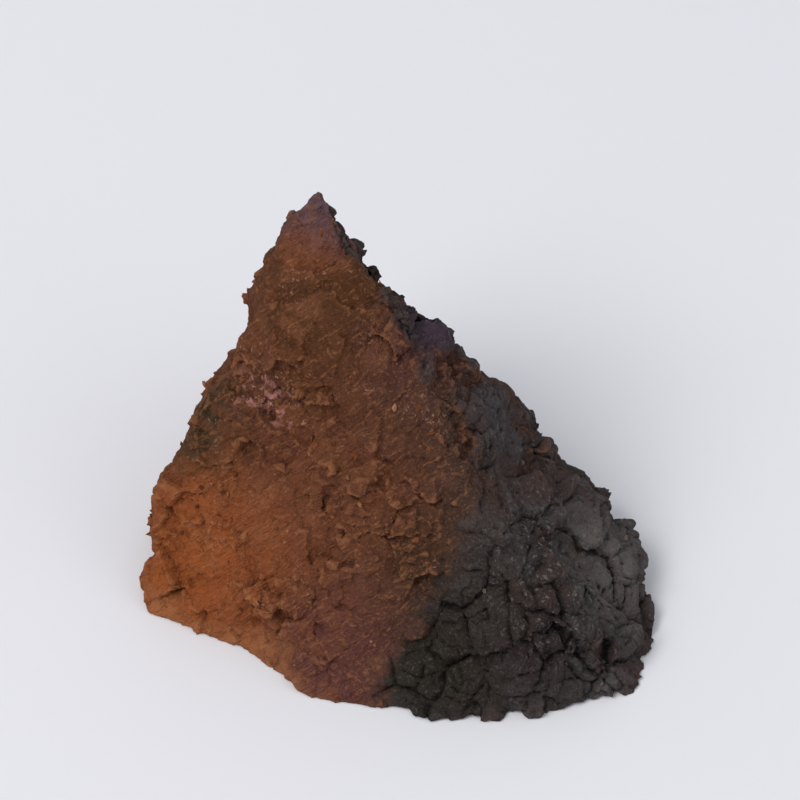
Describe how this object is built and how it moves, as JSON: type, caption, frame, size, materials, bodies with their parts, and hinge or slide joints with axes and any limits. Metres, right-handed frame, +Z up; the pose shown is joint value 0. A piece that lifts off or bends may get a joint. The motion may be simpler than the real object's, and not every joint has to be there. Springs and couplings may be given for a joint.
{
  "type": "chaga chunk",
  "caption": "Small crushed piece of chaga fungus: a blunt leaning pyramid, torn rust-brown cork on one side, cracked charred crust on the other, resting on a flat break.",
  "frame": {"origin": "middle of the flat underside that the chunk rests on", "axes": "+Z up, +X towards the crust side and along the longest side, -Y towards the torn front"},
  "size_m": [0.007, 0.0062, 0.0059],
  "materials": {
    "chaga": "matte, corky, from rust-orange inside to charcoal crust"
  },
  "bodies": {
    "root": {"chaga_chunk": "chaga"}
  },
  "joints": []
}
